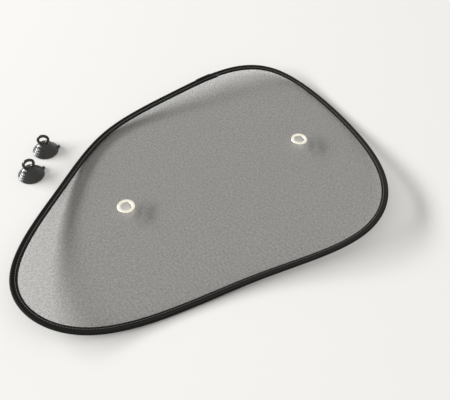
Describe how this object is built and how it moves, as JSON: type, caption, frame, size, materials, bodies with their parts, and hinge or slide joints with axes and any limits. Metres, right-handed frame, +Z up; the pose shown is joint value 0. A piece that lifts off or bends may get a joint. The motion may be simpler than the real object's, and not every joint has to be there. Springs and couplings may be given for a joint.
{
  "type": "car side window sunshade",
  "caption": "Free-form black net sunshade for a car side window: net in a tape-bound spring wire hoop, metal eyelets, and looped suction cups lying beside it.",
  "frame": {"origin": "on the floor, below the middle of the shade's bounding rectangle", "axes": "+X along the long side of the shade, to the end with the high corner; +Y towards the top of the window; +Z up, out of the face that shows the eyelets' rolled flanges"},
  "size_m": [0.4306, 0.3481, 0.0253],
  "materials": {
    "net": "fine knitted net, see-through",
    "binding_tape": "ribbed woven tape, matt",
    "thread": "spun sewing thread",
    "spring_wire": "drawn spring wire",
    "nickel_plate": "bright nickel plate on pressed brass",
    "soft_vinyl": "glossy moulded soft vinyl"
  },
  "bodies": {
    "root": {"net_panel": "net", "hoop_wire": "spring_wire", "wire_sleeve": "spring_wire", "edge_binding": "binding_tape", "needle_thread": "thread", "bobbin_thread": "thread", "eyelet_left": "nickel_plate", "washer_left": "nickel_plate", "eyelet_right": "nickel_plate", "washer_right": "nickel_plate", "suction_cup_1": "soft_vinyl", "suction_cup_2": "soft_vinyl"}
  },
  "joints": []
}
